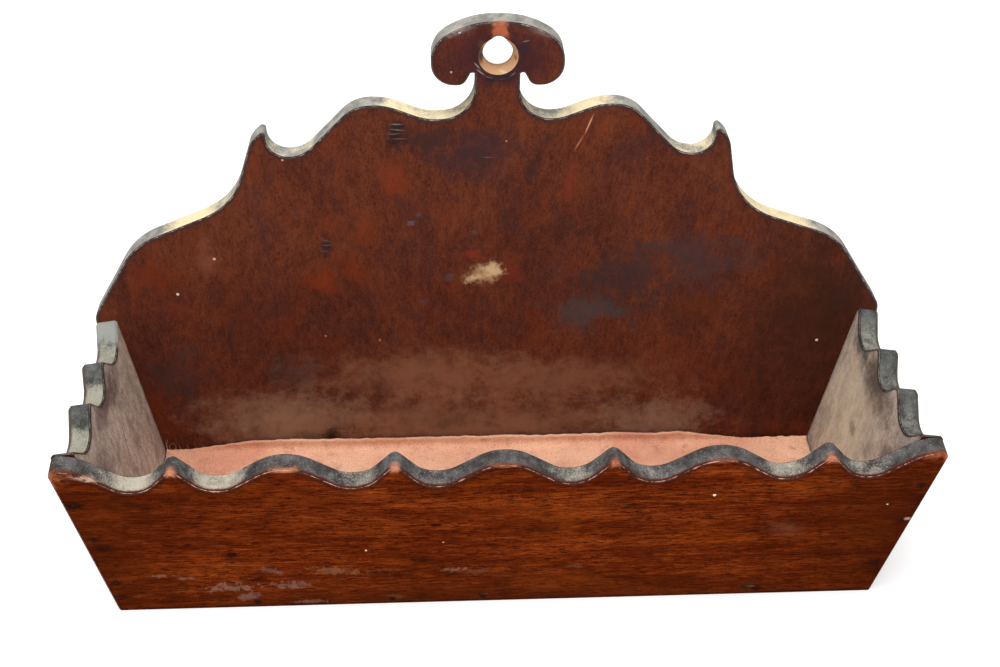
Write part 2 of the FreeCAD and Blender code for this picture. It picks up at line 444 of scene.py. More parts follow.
    def ramp(self, value: Socket, stops: tuple[tuple[float, Colour], ...]) -> Socket:
        """A run of colours along a number.

        Args:
            value: The number.
            stops: Places and colours, in order.

        Returns:
            The colour.
        """
        added = self.node("ShaderNodeValToRGB", {"Fac": value})
        elements = added.color_ramp.elements
        while len(elements) < len(stops):
            elements.new(1.0)
        for element, (position, colour) in zip(elements, stops):
            element.position = position
            element.color = colour
        return added.outputs["Color"]

    def patch(self, mark: Mark) -> Socket:
        """The cover of one mark.

        Args:
            mark: The mark.

        Returns:
            Its cover, from 0 to its strength.
        """
        centre = Vector((mark.across, 0.0, mark.up)) * MM
        radii = Vector((mark.width, 1.0, mark.height)) * MM / 2
        if mark.tilt:
            turn = (0.0, math.radians(mark.tilt), 0.0)
            inputs = {"Vector": self.plane, "Location": centre, "Rotation": turn, "Scale": radii}
            local = self.node("ShaderNodeMapping", inputs, vector_type="TEXTURE")
        else:
            shrink = [1 / radius for radius in radii]
            shift = [-at / radius for at, radius in zip(centre, radii)]
            inputs = {0: self.plane, 1: shrink, 2: shift}
            local = self.node("ShaderNodeVectorMath", inputs, operation="MULTIPLY_ADD")
        length = self.node("ShaderNodeVectorMath", {0: local.outputs[0]}, operation="LENGTH")
        radius = length.outputs["Value"]
        if mark.ragged:
            breakup = self.broad if min(mark.width, mark.height) > WIDE_MARK else self.fine
            radius = self.roughened(radius, breakup, mark.ragged * 2)
        return self.between(radius, 1.0, 1.0 - mark.softness, mark.strength)

    def cover(self, colour: Socket, marks: tuple[Mark, ...], where: object = 1.0) -> Socket:
        """Lays marks over a colour.

        Args:
            colour: The colour.
            marks: The marks, from the lowest to the topmost.
            where: How far they may cover it.

        Returns:
            The colour with its marks.
        """
        for mark in marks:
            patch = self.patch(mark)
            if where != 1.0:
                patch = self.maths("MULTIPLY", where, patch)
            colour = self.mix(patch, colour, shade(*mark.colour))
        return colour

    def set_surface(self, inputs: dict[str, object]) -> None:
        """Feeds the shader's sockets by name."""
        for name, value in inputs.items():
            self.feed(self.surface.inputs[name], value)

    def finish(self, colour: object, roughness: object, height: object, relief: float) -> None:
        """Puts colour, roughness and relief on the shader.

        Args:
            colour: The base colour.
            roughness: The roughness.
            height: The relief, from 0 to 1.
            relief: How deep the relief is.
        """
        bump = self.node("ShaderNodeBump", {"Strength": 1.0, "Distance": relief, "Height": height})
        normal = bump.outputs["Normal"]
        self.set_surface({"Base Color": colour, "Roughness": roughness, "Normal": normal})


POLISHED_FRONT = Timber(
    dark=shade(48, 14, 5),
    body=shade(96, 34, 10),
    bright=shade(156, 72, 26),
    figure=(12, 100, 100),
    streak=(85, 900, 900),
    pores=(260, 1900, 1900),
    warm=shade(140, 62, 14),
    cool=shade(60, 20, 6),
    mottle=(24, 60, 60),
    mottling=0.4,
    grit=0.25,
    contrast=0.9,
    pore_depth=0.9,
    roughness=0.42,
)
POLISHED_BACK = Timber(
    dark=shade(58, 28, 22),
    body=shade(92, 46, 31),
    bright=shade(118, 62, 38),
    figure=(24, 24, 12),
    streak=(420, 420, 170),
    pores=(1300, 1300, 500),
    warm=shade(116, 50, 25),
    cool=shade(62, 38, 40),
    mottle=(56, 56, 40),
    mottling=0.4,
    grit=0.5,
    contrast=0.75,
    pore_depth=0.35,
    roughness=0.48,
)
POLISHED_SIDE = Timber(
    dark=shade(70, 26, 9),
    body=shade(98, 42, 18),
    bright=shade(124, 60, 28),
    figure=(45, 45, 5),
    streak=(330, 330, 14),
    pores=(1500, 1500, 45),
    warm=shade(134, 66, 28),
    cool=shade(64, 30, 20),
)
BARE_SIDE = Timber(
    dark=shade(150, 134, 124),
    body=shade(196, 182, 170),
    bright=shade(226, 212, 194),
    figure=(40, 40, 26),
    streak=(260, 260, 130),
    pores=(900, 900, 360),
    warm=shade(206, 184, 152),
    cool=shade(150, 136, 134),
    mottle=(80, 80, 60),
    mottling=0.5,
    grit=0.5,
    contrast=1.15,
    pore_depth=0.6,
    roughness=0.85,
)
BARE_FRONT = replace(
    BARE_SIDE, figure=(26, 40, 40), streak=(130, 260, 260), pores=(360, 900, 900)
)
BARE_BACK = Timber(
    dark=shade(64, 42, 31),
    body=shade(99, 70, 52),
    bright=shade(128, 96, 72),
    figure=(26, 26, 5),
    streak=(150, 150, 11),
    pores=(900, 900, 45),
    warm=shade(136, 104, 78),
    cool=shade(66, 48, 38),
    mottle=(22, 22, 14),
    mottling=0.5,
    grit=0.2,
    contrast=1.2,
    roughness=0.8,
)
BARE_BOTTOM = Timber(
    dark=shade(80, 54, 40),
    body=shade(112, 82, 62),
    bright=shade(140, 108, 82),
    figure=(5, 40, 40),
    streak=(14, 260, 260),
    pores=(45, 1200, 1200),
    warm=shade(146, 116, 88),
    cool=shade(82, 62, 50),
    roughness=0.85,
)

FRONT_EDGE = CutEdge(
    grime=shade(92, 90, 90),
    shadow=shade(58, 54, 54),
    dust=shade(180, 171, 153),
    arris=shade(58, 23, 12),
    bare_and_highlight=shade(204, 152, 130),
    lip=shade(84, 44, 34),
    soot_and_shade=shade(34, 14, 8),
    soot_and_shade_cover=0.7,
    lip_share=0.16,
    wear_and_highlight=0.32,
)
SIDE_EDGE = CutEdge(
    grime=shade(98, 98, 95),
    shadow=shade(62, 63, 62),
    dust=shade(158, 154, 138),
    arris=shade(52, 44, 42),
    bare_and_highlight=shade(128, 116, 104),
    lip=shade(70, 60, 54),
    soot_and_shade=shade(72, 58, 54),
    wear_and_highlight=0.4,
)
BACK_EDGE = CutEdge(
    grime=shade(158, 156, 148),
    shadow=shade(118, 117, 114),
    dust=shade(230, 211, 170),
    arris=shade(48, 30, 28),
    bare_and_highlight=shade(160, 142, 134),
    lip=shade(96, 80, 72),
    soot_and_shade=shade(52, 34, 34),
    soot_and_shade_cover=0.6,
    lip_share=-0.05,
    polished=Side.INSIDE,
    wear_and_highlight=0.3,
)


@dataclass
class Board:
    """A board of the box: a skin on each face, a cut edge, the marks of its age and some painted shade
    and highlights.

    Attributes:
        node: The name of its solid in the frame.
        outward: The direction that its outer face looks.
        outside: Timber of the outer face.
        inside: Timber of the inner face.
        edge: Finish of the cut edge.
        marks: The marks on each face.
        wear_and_highlight_marks: Where the polished arris is worn, and where highlights are painted
            along it, over its face and lip.
        edge_marks: The marks on its edge alone.
        dust_marks: Where dust lies on the edge, mirrored about the middle.
        along_y: True where marks are placed along Y.
        shine: Specular level of the faces.
        arris_shine: How much more the arris shines.
    """

    node: str
    outward: Triple
    outside: Timber
    inside: Timber
    edge: CutEdge
    marks: dict[Side, tuple[Mark, ...]] = field(default_factory=dict)
    wear_and_highlight_marks: tuple[Mark, ...] = ()
    edge_marks: tuple[Mark, ...] = ()
    dust_marks: tuple[Mark, ...] = ()
    along_y: bool = False
    shine: float = 0.012
    arris_shine: float = 0.08

    def skin(self, graph: Graph, timber: Timber, shift: float) -> tuple[Socket, Socket]:
        """Lays a timber's grain.

        Args:
            graph: The material.
            timber: The timber.
            shift: Moves the pattern, so that two skins differ.

        Returns:
            The colour and the relief.
        """
        offset = (shift, shift, shift)
        figure = graph.cloud(graph.scaled(timber.figure, offset), 3.0, 0.55, 0.8)
        streak = graph.cloud(graph.scaled(timber.streak, offset), 5.0, 0.72, 0.2)
        pores = graph.cloud(graph.scaled(timber.pores, offset), 2.0, 0.5)
        grit = graph.cloud(graph.scaled((timber.grit_scale,) * 3, offset), 2.0, 0.6)
        streaked = graph.maths("MULTIPLY", streak, 1.0 - timber.figure_share)
        tone = graph.maths("MULTIPLY_ADD", figure, timber.figure_share, streaked)
        tone = graph.roughened(tone, grit, timber.grit)
        spread = timber.spread / timber.contrast
        stops = ((0.5 - spread, timber.dark), (0.5, timber.body), (0.5 + spread, timber.bright))
        colour = graph.ramp(tone, stops)
        thin, dull = graph.tints(graph.scaled(timber.mottle, offset))
        for patches, tint in ((thin, timber.warm), (dull, timber.cool)):
            colour = graph.mix(graph.between(patches, *PATCH_STEP, timber.mottling), colour, tint)
        pitted = graph.between(pores, *PORE_STEP, timber.pore_depth)
        colour = graph.mix(pitted, colour, timber.dark)
        height = graph.maths("SUBTRACT", streak, pitted)
        return colour, height

    def hollows(self, graph: Graph) -> object:
        """Where pale dust lies on the cut edge: nowhere, unless a kind of board says."""
        return 0.0

    def rim(self, graph: Graph, hollows: object) -> Socket:
        """The colour of the cut edge: grime on its swells and dust in its hollows.

        Args:
            graph: The material.
            hollows: Where pale dust lies.

        Returns:
            The colour.
        """
        edge = self.edge
        grains = graph.even(1500, 4.0, 0.7)
        coarse = graph.even(160, 5.0, 0.65)
        grime = graph.mix(graph.between(coarse, 0.35, 0.65), edge.shadow, edge.grime)
        grime = graph.mix(graph.between(grains, 0.52, 0.78, 0.5), grime, edge.dust)
        uneven = graph.between(graph.even(16, 1.0, 0.5), 0.2, 0.6)
        lying = graph.roughened(graph.maths("MULTIPLY", hollows, uneven), coarse, edge.clumps)
        lying = graph.roughened(lying, grains, edge.grains)
        return graph.mix(graph.between(lying, 0.15, 1.15, 0.92), grime, edge.dust)

    def across(self, graph: Graph) -> Socket:
        """How deep a point lies under the polished face.

        Args:
            graph: The material.

        Returns:
            The depth, as a share of the thickness.
        """
        outward = Vector(self.outward) * self.edge.polished.value
        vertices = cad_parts[self.node].data.vertices
        reaches = [vertex.co.dot(outward) for vertex in vertices]
        surface, back = max(reaches), min(reaches)
        depth = graph.maths("SUBTRACT", surface, graph.dot(graph.place, outward))
        return graph.maths("DIVIDE", depth, surface - back)

    def exposed(self, graph: Graph) -> Socket:
        """How near a point is to an arris.

        Args:
            graph: The material.

        Returns:
            From 0 on the flat to 1 at a sharp tip.
        """
        reach = {"Distance": self.edge.reach}
        near = graph.node(
            "ShaderNodeAmbientOcclusion", reach, inside=True, only_local=True, samples=4
        )
        return graph.maths("SUBTRACT", 1.0, near.outputs["AO"])

    def cut_edge(self, graph: Graph, off_rim: Socket, exposed: Socket) -> tuple[Socket, Socket]:
        """The colour of the cut edge and its arrises.

        Args:
            graph: The material.
            off_rim: Where the arris begins, from 0 on the rim to 1 on the arris.
            exposed: How near a point is to an arris.

        Returns:
            The colour, and where the polish that turns over the edge lies.
        """
        edge = self.edge
        across = self.across(graph)
        depth = graph.roughened(across, graph.fine, 0.3)
        turned = graph.maths("MULTIPLY_ADD", exposed, -edge.lip_spread, depth)
        lip = graph.between(turned, edge.lip_share + 0.06, edge.lip_share - 0.06)
        rim = graph.mix(lip, self.rim(graph, self.hollows(graph)), edge.lip)
        upward = graph.between(graph.dot(graph.facing, UP), *UPWARD_STEP)
        fibres = graph.between(graph.fine, 0.3, 0.7)
        end_grain = graph.mix(fibres, self.outside.dark, self.outside.body)
        # A thin pale line on the dark arris: partly worn-through wood, partly painted highlight.
        arris = graph.mix(self.worn_line_and_highlight(graph, across), edge.arris, edge.bare_and_highlight)
        rim = graph.mix(upward, end_grain, rim)
        arris = graph.mix(upward, end_grain, arris)
        colour = graph.cover(graph.mix(off_rim, rim, arris), self.edge_marks)
        return colour, graph.between(depth, 0.5, 0.3)

    def worn_line_and_highlight(self, graph: Graph, across: Socket) -> Socket:
        """A thin broken line along the arris, where it is worn through, painted pale as a highlight.

        Args:
            graph: The material.
            across: Depth under the polished face, as a share of the thickness.

        Returns:
            The cover of the line.
        """
        line_place, thinness = 0.6, 0.9
        from_middle = graph.maths("ABSOLUTE", graph.maths("SUBTRACT", across, 0.5))
        into = graph.maths("DIVIDE", graph.maths("SUBTRACT", 0.5, from_middle), self.edge.arris_share)
        off_line = graph.maths("ABSOLUTE", graph.maths("SUBTRACT", into, line_place))
        worn = graph.maths("MULTIPLY_ADD", off_line, -thinness, graph.even(260, 6.0, 0.7))
        threshold = 0.5 - 0.3 * self.edge.wear_and_highlight
        return graph.between(worn, threshold, threshold + 0.12, 0.75)

    def dress(self) -> None:
        """Gives the board its material."""
        graph = Graph(self.node + "_finish", self.along_y)
        toward = graph.dot(graph.facing, self.outward)
        is_outer = graph.maths("GREATER_THAN", toward, 0.0)
        square = graph.maths("ABSOLUTE", toward)
        on_face = graph.between(square, *FACE_STEP)
        off_rim = graph.between(square, *ARRIS_STEP)
        exposed = self.exposed(graph)
        outer, outer_height = self.skin(graph, self.outside, 0.0)
        inner, inner_height = self.skin(graph, self.inside, INNER_SHIFT)
        outer = graph.cover(outer, self.marks.get(Side.OUTSIDE, ()))
        inner = graph.cover(inner, self.marks.get(Side.INSIDE, ()))
        face = graph.mix(is_outer, inner, outer)
        height = graph.mix(is_outer, inner_height, outer_height, kind="Float")
        # Darkens the faces along the arris: partly dirt, partly painted shade below it.
        soot_and_shade_mask = graph.roughened(exposed, graph.even(70, 6.0, 0.7), 1.2)
        face = graph.mix(graph.between(soot_and_shade_mask, 0.0, 0.35, self.edge.soot_and_shade_cover), face, self.edge.soot_and_shade)
        edge, polished_part = self.cut_edge(graph, off_rim, exposed)
        colour = graph.mix(on_face, edge, face)
        # Worn patches and painted highlights near the polished arris.
        wear_and_highlight_cover = graph.between(graph.roughened(exposed, graph.fine, 1.4), -0.05, 0.3)
        wear_and_highlight_cover = graph.maths("MULTIPLY", polished_part, wear_and_highlight_cover)
        colour = graph.cover(colour, self.wear_and_highlight_marks, wear_and_highlight_cover)
        polish = graph.mix(is_outer, self.inside.roughness, self.outside.roughness, kind="Float")
        roughness = graph.mix(off_rim, self.edge.roughness, polish, kind="Float")
        arris = graph.maths("SUBTRACT", off_rim, on_face)
        shine = graph.maths("MULTIPLY_ADD", arris, self.arris_shine, self.shine)
        graph.set_surface({"Specular IOR Level": shine})
        graph.finish(colour, roughness, height, self.outside.relief)
        dress_solid(self.node, graph.material)


@dataclass
class FrontBoard(Board):
    """The scalloped front, polished outside and dusty along its rim."""

    hollow_top: float = 85.0 * MM
    hollow_floor: float = 75.0 * MM
    thin_dust: float = 0.62
    dusty_end: float = -130.0 * MM
    clean_end: float = 40.0 * MM

    def hollows(self, graph: Graph) -> Socket:
        """Dust lies on the floors of the scallops, thinner towards the right.

        Args:
            graph: The material.

        Returns:
            Where it lies, from 0 to 1.
        """
        floors = graph.between(graph.dot(graph.place, UP), self.hollow_top, self.hollow_floor)
        width = graph.dot(graph.place, (1.0, 0.0, 0.0))
        extra = graph.between(width, self.clean_end, self.dusty_end, 1.0 - self.thin_dust)
        return graph.maths("MULTIPLY", floors, graph.maths("ADD", extra, self.thin_dust))


@dataclass
class SideBoard(Board):
    """A scalloped side, unpolished inside."""

    rim_height: float = 87.0 * MM
    rim_fall_share: float = 0.051
    hollow_depth: float = 9.5 * MM
    hollow_start: float = 4.0 * MM

    def hollows(self, graph: Graph) -> Socket:
        """Dust lies on the floors of the three scallops, below the falling line of the tips.

        Args:
            graph: The material.

        Returns:
            Where it lies, from 0 to 1.
        """
        line = graph.dot(graph.place, (0.0, self.rim_fall_share, 1.0))
        below = graph.maths("SUBTRACT", self.rim_height, line)
        return graph.between(below, self.hollow_start, self.hollow_depth)


@dataclass
class BackBoard(Board):
    """The tall back with its scrolled crest and head."""

    def hollows(self, graph: Graph) -> Socket:
        """Dust lies in the crest's hollows, the same on the left and the right.

        Args:
            graph: The material.

        Returns:
            Where it lies, from 0 to 1.
        """
        folded = graph.node("ShaderNodeVectorMath", {0: graph.plane}, operation="ABSOLUTE")
        whole, graph.plane = graph.plane, folded.outputs[0]
        cover = 0.0
        for mark in self.dust_marks:
            cover = graph.maths("MAXIMUM", cover, graph.patch(mark))
        graph.plane = whole
        return cover


@dataclass(frozen=True)
class FadedCloth:
    """The faded wool cloth in the bottom.

    Attributes:
        body: Its colour.
        faded: Where light has bleached it.
        soiled: Where it is dirty.
        threads_per_metre: Threads of its weave.
        roughness: Its roughness.
        sheen: Its sheen.
        shine: Its specular level.
        relief: Height of its weave and fuzz.
    """

    body: Colour = shade(222, 156, 127)
    faded: Colour = shade(246, 194, 160)
    soiled: Colour = shade(160, 102, 84)
    threads_per_metre: float = 1300.0
    roughness: float = 0.95
    sheen: float = 0.05
    shine: float = 0.1
    relief: float = 0.25 * MM

    def material(self) -> bpy.types.Material:
        """Builds the cloth's material.

        Returns:
            The material.
        """
        graph = Graph("faded_cloth")
        broad = graph.even(22, 4.0, 0.6)
        mottle = graph.even(160, 5.0, 0.7)
        fuzz = graph.even(1500, 3.0, 0.6)
        turn = 2 * math.pi * self.threads_per_metre
        warp = graph.maths("SINE", graph.dot(graph.place, (turn, 0.0, 0.0)))
        weft = graph.maths("SINE", graph.dot(graph.place, (0.0, turn, turn)))
        weave = graph.maths("MULTIPLY_ADD", graph.maths("MULTIPLY", warp, weft), 0.25, fuzz)
        colour = graph.mix(graph.between(broad, 0.35, 0.65), self.body, self.faded)
        colour = graph.mix(graph.between(mottle, 0.5, 0.75, 0.6), colour, self.soiled)
        colour = graph.mix(graph.between(fuzz, 0.45, 0.7, 0.5), colour, self.soiled)
        colour = graph.mix(graph.between(weave, 0.35, 0.0, 0.5), colour, self.soiled)
        graph.set_surface({"Sheen Weight": self.sheen, "Specular IOR Level": self.shine})
        graph.finish(colour, self.roughness, weave, self.relief)
        return graph.material


@dataclass
class Lining:
    """The cloth that lies on the bottom board, its back edge turned a little up the back."""

    node: str = "bottom_lining"
    thickness: float = 0.7 * MM
    clearance: float = 0.3 * MM
    turn_up: float = 4.2 * MM
    turn_radius: float = 2.5 * MM
    turn_from: float = -0.125
    turn_to: float = 0.105
    turn_fade: float = 0.03
    wave: float = 0.25
    wave_repeats: float = 60.0
    ripple: float = 0.35 * MM
    ripple_repeats: float = 24.0
    fray: float = 0.5 * MM
    front_fray_repeats: float = 120.0
    back_fray_repeats: float = 300.0
    end_fray_repeats: float = 40.0
    columns: int = 240
    rows: int = 70
    cloth: FadedCloth = FadedCloth()
    fuzz_threads: int = 130
    fuzz_length: float = 1.1 * MM
    tuft_threads: int = 6
    tuft_length: float = 6.5 * MM
    tuft_width: float = 0.014
    thread_radius: float = 0.11 * MM
    thread_steps: int = 5
    thread_seed: int = 3
    thread_taper: float = 0.6
    thread_lean: float = 0.6

    @cached_property
    def room(self) -> tuple[Vector, Vector]:
        """The corners of the solid that the cloth stands for."""
        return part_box(self.node)

    @cached_property
    def half(self) -> float:
        """Half the width of the cloth."""
        low, high = self.room
        return (high[0] - low[0]) / 2 - self.clearance

    def rise_at(self, x: float) -> float:
        """How far the back edge turns up.

        Args:
            x: The place across the box.

        Returns:
            The rise over the bottom.
        """
        into = min(1.0, max(0.0, (x - self.turn_from) / self.turn_fade + 0.5))
        out = min(1.0, max(0.0, (self.turn_to - x) / self.turn_fade + 0.5))
        wave = self.wave * noise.noise(Vector((x * self.wave_repeats, 0.0, 3.0)))
        return self.turn_up * into * out * (1 + wave) + self.clearance

    def laid(self, across: float, along: float) -> Vector:
        """Where a point of the cloth comes to lie.

        Args:
            across: From -1 at the left wall to 1 at the right.
            along: From 0 at the front edge to 1 at the back.

        Returns:
            The point.
        """
        low, high = self.room
        frayed = noise.noise(Vector((along * self.end_fray_repeats, across, 9.0)))
        x = across * (self.half + self.fray * frayed * abs(across) ** 8)
        frayed = noise.noise(Vector((x * self.front_fray_repeats, 5.0, 0.0)))
        front = low[1] + self.clearance + self.fray * frayed
        back = high[1] - self.clearance - self.thickness / 2
        frayed = noise.noise(Vector((x * self.back_fray_repeats, 7.0, 0.0)))
        rise = self.rise_at(x) + self.fray * frayed
        run = along * (back - front + rise)
        corner = back - front - self.turn_radius
        z = low[2] + self.thickness / 2
        if run <= corner:
            y = front + run
        else:
            angle = min((run - corner) / self.turn_radius, math.pi / 2)
            climb = max(0.0, run - corner - self.turn_radius * math.pi / 2)
            y = front + corner + self.turn_radius * math.sin(angle)
            z += self.turn_radius * (1 - math.cos(angle)) + climb
        lift = noise.noise(Vector((x * self.ripple_repeats, y * self.ripple_repeats, 1.0))) + 0.5
        z += self.ripple * max(0.0, lift) * 2
        return Vector((x, y, z))

    def thread(self, shape: bmesh.types.BMesh, start: Vector, length: float, seed: float) -> None:
        """Grows one loose thread upwards from a point of the cloth.

        Args:
            shape: The mesh that it is added to.
            start: Where it leaves the cloth.
            length: Its length.
            seed: Sets its lean and its curl.
        """
        lean = noise.noise_vector(Vector((seed * 7.7, 0.3, 0.0)))
        ring = bmesh.ops.create_circle(
            shape,
            cap_ends=True,
            segments=3,
            radius=self.thread_radius,
            matrix=Matrix.Translation(start),
        )["verts"]
        edges = list(ring[0].link_faces[0].edges)
        centre, radius = start, self.thread_radius
        for step in range(1, self.thread_steps + 1):
            share = step / self.thread_steps
            curl = noise.noise_vector(Vector((seed * 3.1, share * 1.5, 5.0))) * share
            reach = Vector((lean.x * self.thread_lean + curl.x, -abs(curl.y) * self.thread_lean, 1.0))
            above = start + reach * share * length
            narrower = self.thread_radius * (1 - self.thread_taper * share)
            grown = bmesh.ops.extrude_edge_only(shape, edges=edges)["geom"]
            edges = [part for part in grown if isinstance(part, bmesh.types.BMEdge) and part.is_boundary]
            for vertex in (part for part in grown if isinstance(part, bmesh.types.BMVert)):
                vertex.co = above + (vertex.co - centre) * (narrower / radius)
            centre, radius = above, narrower
        bmesh.ops.edgeloop_fill(shape, edges=edges)

    def build_threads(self, material: bpy.types.Material) -> bpy.types.Object:
        """Builds the fuzz along the cloth's back edge and the tuft in its left corner.

        Args:
            material: The cloth's material.

        Returns:
            The threads.
        """
        shape = bmesh.new()
        noise.seed_set(self.thread_seed)
        for index in range(self.fuzz_threads):
            spot = noise.noise(Vector((index * 5.3, 0.0, 2.0)))
            across = 2 * (index + spot) / self.fuzz_threads - 1
            across = max(-0.99, min(0.95, across))
            length = self.fuzz_length * (0.4 + abs(noise.noise(Vector((index * 2.9, 4.0, 0.0)))))
            self.thread(shape, self.laid(across, 1.0), length, index + 0.5)
        for index in range(self.tuft_threads):
            share = index / self.tuft_threads
            across = (self.tuft_width * share**2 + self.thread_radius * 3) / self.half - 1
            length = self.tuft_length * (1 - 0.7 * share)
            self.thread(shape, self.laid(across, 1.0), length, index + 300.5)
        bmesh.ops.recalc_face_normals(shape, faces=shape.faces)
        threads = make_piece("lining_threads", shape, material)
        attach(threads, BODY)
        log.info("lining_threads grown, %d threads", self.fuzz_threads + self.tuft_threads)
        return threads

    def build(self) -> bpy.types.Object:
        """Builds and lays the cloth.

        Returns:
            The cloth.
        """
        shape = bmesh.new()
        bmesh.ops.create_grid(shape, x_segments=self.columns, y_segments=self.rows, size=1.0)
        for vertex in shape.verts:
            vertex.co = self.laid(vertex.co.x, (vertex.co.y + 1) / 2)
        for polygon in shape.faces:
            polygon.smooth = True
        bmesh.ops.recalc_face_normals(shape, faces=shape.faces)
        material = self.cloth.material()
        cloth = make_piece("lining_cloth", shape, material)
        solid = cloth.modifiers.new("thickness", "SOLIDIFY")
        solid.thickness = self.thickness
        solid.offset = 0.0
        threads = self.build_threads(material)
        low, high = self.room
        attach(cloth, BODY)
        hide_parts(self.node)
        return cloth


@dataclass(frozen=True)
class BradIron:
    """Dark oxidised iron of the cut brads.

    Attributes:
        body: Its colour.
        rust: The colour of its rust.
        roughness: Its roughness.
        shine: Its specular level.
        relief: Height of its pits.
    """

    body: Colour = shade(30, 16, 12)
    rust: Colour = shade(58, 26, 14)
    roughness: float = 0.8
    shine: float = 0.02
    relief: float = 0.1 * MM

    def material(self) -> bpy.types.Material:
        """Builds the iron's material.

        Returns:
            The material.
        """
        graph = Graph("brad_iron")
        mottle = graph.even(900, 4.0, 0.65)
        colour = graph.mix(graph.between(mottle, 0.45, 0.65), self.body, self.rust)
        graph.set_surface({"Specular IOR Level": self.shine})
        graph.finish(colour, self.roughness, mottle, self.relief)
        return graph.material


@dataclass
class Brads:
    """The cut brads that hold the boards together."""

    corners: tuple[str, ...] = ("front_left", "front_right", "back_left", "back_right")
    feet: tuple[str, ...] = ("front_foot", "back_foot", "left_foot", "right_foot")
    iron: BradIron = BradIron()

    def dress(self) -> None:
        """Gives every brad its iron."""
        material = self.iron.material()
        for place in self.corners + self.feet:
            dress_solid(place + "_brads", material)


@dataclass
class Studio:
    """A pale floor, soft lamps, and the camera at the photograph's angle."""

    camera_place: Triple = (-0.0305, -0.4448, 0.4545)
    camera_turn: Triple = (52.178, -1.156, -3.052)
    focal_length: float = 50.4
    sensor_width: float = 36.0
    floor_size: float = 6.0
    floor_drop: float = 0.2 * MM
    floor_colour: Colour = shade(232, 232, 232)
    floor_roughness: float = 0.9
    floor_lift: float = 0.32
    sky_strength: float = 0.5
    overhead_place: Triple = (-0.2, -0.25, 1.5)
    overhead_size: float = 1.3
    overhead_power: float = 25.0
    front_place: Triple = (0.15, -1.5, 0.75)
    front_size: float = 1.2
    front_power: float = 7.5
    lamp_aim: Triple = (0.0, 0.0, 0.08)

    def build_camera(self) -> None:
        """Places the camera."""
        lens = bpy.data.cameras.new("camera")
        lens.lens = self.focal_length
        lens.sensor_width = self.sensor_width
        camera = bpy.data.objects.new("camera", lens)
        camera.location = self.camera_place
        camera.rotation_euler = Euler([math.radians(angle) for angle in self.camera_turn])
        bpy.context.scene.collection.objects.link(camera)
        bpy.context.scene.camera = camera

    def build_floor(self) -> None:
        """Lays the floor, which looks white and keeps the box's shadow."""
        shape = bmesh.new()
        bmesh.ops.create_grid(shape, x_segments=1, y_segments=1, size=self.floor_size / 2)
        bmesh.ops.translate(shape, verts=shape.verts, vec=(0.0, 0.0, -self.floor_drop))
        graph = Graph("pale_floor")
        lift = graph.maths("MULTIPLY", self.seen(graph.tree), self.floor_lift)
        graph.set_surface({"Base Color": self.floor_colour, "Roughness": self.floor_roughness})
        graph.set_surface({"Emission Color": WHITE, "Emission Strength": lift})
        make_piece("floor", shape, graph.material)

    def seen(self, tree: bpy.types.NodeTree) -> Socket:
        """Whether a ray comes from the camera, a reflection or through glass.

        Args:
            tree: The node tree that asks.

        Returns:
            1 for such a ray, otherwise 0.
        """
        path = tree.nodes.new("ShaderNodeLightPath")
        found = path.outputs["Is Camera Ray"]
        for name in ("Is Glossy Ray", "Is Transmission Ray"):
            either = tree.nodes.new("ShaderNodeMath")
            either.operation = "MAXIMUM"
            tree.links.new(found, either.inputs[0])
            tree.links.new(path.outputs[name], either.inputs[1])
            found = either.outputs[0]
        return found

    def build_sky(self) -> None:
        """Makes the world a soft light that looks white."""
        world = bpy.data.worlds.new("sky")
        world.use_nodes = True
        tree = world.node_tree
        background = tree.nodes["Background"]
        background.inputs["Color"].default_value = WHITE
        strength = tree.nodes.new("ShaderNodeMapRange")
        tree.links.new(self.seen(tree), strength.inputs["Value"])
        strength.inputs["To Min"].default_value = self.sky_strength
        strength.inputs["To Max"].default_value = 1.0
        tree.links.new(strength.outputs["Result"], background.inputs["Strength"])
        bpy.context.scene.world = world

    def build_lamp(self, name: str, place: Triple, size: float, power: float) -> None:
        """Hangs one soft lamp that faces the box.

        Args:
            name: Its name.
            place: Where it hangs.
            size: The side of its square.
            power: Its power in watts.
        """
        light = bpy.data.lights.new(name, "AREA")
        light.shape = "SQUARE"
        light.size = size
        light.energy = power
        lamp = bpy.data.objects.new(name, light)
        lamp.location = place
        towards = Vector(self.lamp_aim) - Vector(place)
        lamp.rotation_euler = towards.to_track_quat("-Z", "Y").to_euler()
        bpy.context.scene.collection.objects.link(lamp)

    def build(self) -> None:
        """Builds the whole studio."""
        self.build_camera()
        self.build_floor()
        self.build_sky()
        self.build_lamp(
            "overhead_lamp", self.overhead_place, self.overhead_size, self.overhead_power
        )
        self.build_lamp("front_lamp", self.front_place, self.front_size, self.front_power)
        bpy.context.scene.view_settings.view_transform = "Standard"
        log.info("studio built")


